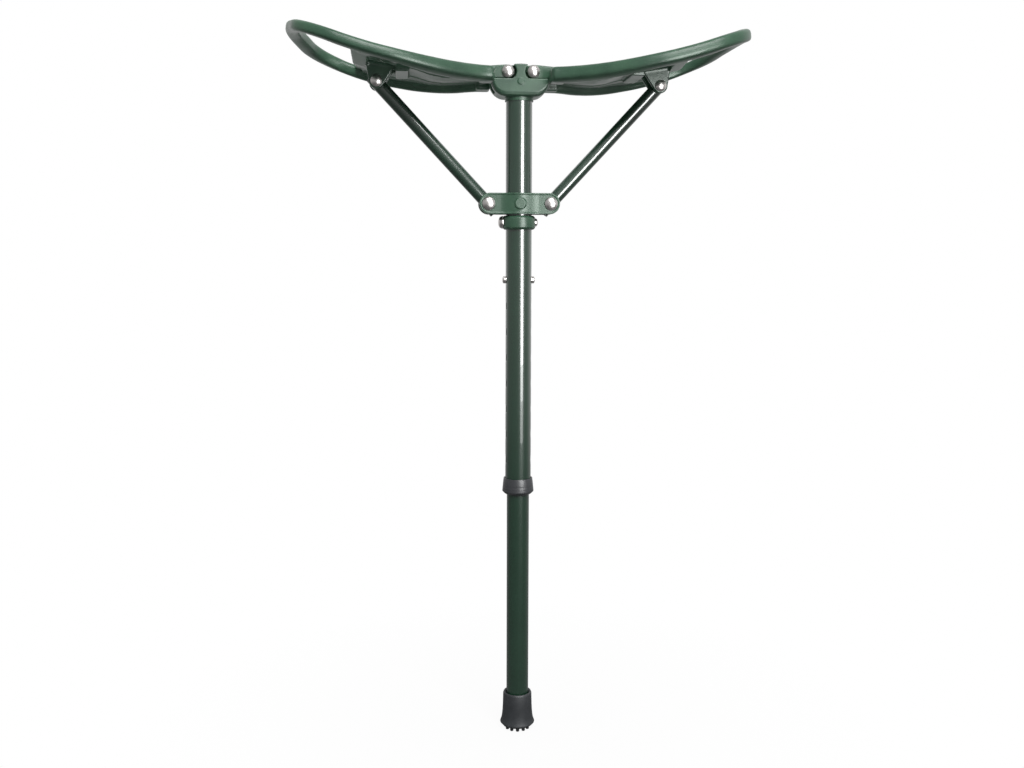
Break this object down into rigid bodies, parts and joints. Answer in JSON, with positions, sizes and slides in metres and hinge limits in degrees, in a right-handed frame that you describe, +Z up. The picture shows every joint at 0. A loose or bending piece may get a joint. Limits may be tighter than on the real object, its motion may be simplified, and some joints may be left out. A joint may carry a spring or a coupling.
{
  "type": "collapsible telescopic stool",
  "caption": "One-legged folding stool: two hinged moulded seat halves with hand-holes, propped by struts from a sliding bracket on a telescopic leg with snap buttons.",
  "frame": {"origin": "on the leg's axis, at the tips of the foot's studs", "axes": "+Z up along the leg, +X along the open seat towards the right half, +Y from the viewer's side to the back, along the hinge axes"},
  "size_m": [0.4354, 0.172, 0.6952],
  "materials": {
    "green_moulding": "satin moulded plastic, mid green",
    "painted_tube": "gloss dark green paint on steel tube",
    "collar_plastic": "semi-gloss charcoal plastic",
    "foot_rubber": "satin black rubber",
    "bright_rivet": "bright plated steel",
    "spring_steel": "plain spring steel"
  },
  "bodies": {
    "leg": {"foot_ferrule": "foot_rubber", "foot_washer": "spring_steel", "lower_tube": "painted_tube", "snap_spring": "spring_steel"},
    "button_left": {"snap_button_left": "bright_rivet"},
    "button_right": {"snap_button_right": "bright_rivet"},
    "upper": {"outer_tube": "painted_tube", "guide_collar": "collar_plastic", "stop_ring": "green_moulding", "stop_ring_bolt": "bright_rivet", "head_block": "green_moulding", "head_pin": "bright_rivet", "hinge_rivet_left": "bright_rivet", "hinge_rivet_right": "bright_rivet"},
    "slider": {"slider_bracket": "green_moulding", "slider_rivet_left_front": "bright_rivet", "slider_rivet_left_back": "bright_rivet", "slider_rivet_right_front": "bright_rivet", "slider_rivet_right_back": "bright_rivet"},
    "wing_right": {"seat_wing_right": "green_moulding", "strut_rivet_right": "bright_rivet"},
    "wing_left": {"seat_wing_left": "green_moulding", "strut_rivet_left": "bright_rivet"},
    "strut_right": {"strut_right": "painted_tube"},
    "strut_left": {"strut_left": "painted_tube"}
  },
  "joints": [
    {"name": "telescope", "type": "slide", "parent": "leg", "child": "upper", "axis": [0, 0, 1], "range_m": [0, 0.1524]},
    {"name": "seat_fold", "type": "hinge", "parent": "upper", "child": "wing_right", "pos_m": [0.012, 0, 0.6538], "axis": [0, -1, 0], "range_deg": [0, 80]},
    {"name": "seat_fold_left", "type": "hinge", "parent": "upper", "child": "wing_left", "pos_m": [-0.012, 0, 0.6538], "axis": [0, 1, 0], "range_deg": [0, 80]},
    {"name": "strut_swing_right", "type": "hinge", "parent": "wing_right", "child": "strut_right", "pos_m": [0.135, 0, 0.6437], "axis": [0, -1, 0], "range_deg": [-41.87, 0]},
    {"name": "strut_swing_left", "type": "hinge", "parent": "wing_left", "child": "strut_left", "pos_m": [-0.135, 0, 0.6437], "axis": [0, 1, 0], "range_deg": [-41.87, 0]},
    {"name": "bracket_slide", "type": "slide", "parent": "upper", "child": "slider", "axis": [0, 0, 1], "range_m": [0, 0.08859]},
    {"name": "button_press_left", "type": "slide", "parent": "leg", "child": "button_left", "axis": [1, 0, 0], "range_m": [0, 0.0047], "stiffness_N_per_m": 1500, "springref_m": -0.001, "deforming": ["snap_spring"]},
    {"name": "button_press_right", "type": "slide", "parent": "leg", "child": "button_right", "axis": [-1, 0, 0], "range_m": [0, 0.0047], "stiffness_N_per_m": 1500, "springref_m": -0.001, "deforming": ["snap_spring"]}
  ],
  "couplings": [
    {"joint": "seat_fold_left", "follows": "seat_fold", "ratio": 1},
    {"joint": "strut_swing_right", "follows": "seat_fold", "ratio": -0.52332},
    {"joint": "strut_swing_left", "follows": "seat_fold", "ratio": -0.52332},
    {"joint": "bracket_slide", "follows": "seat_fold", "m_per_rad": 0.063445}
  ]
}
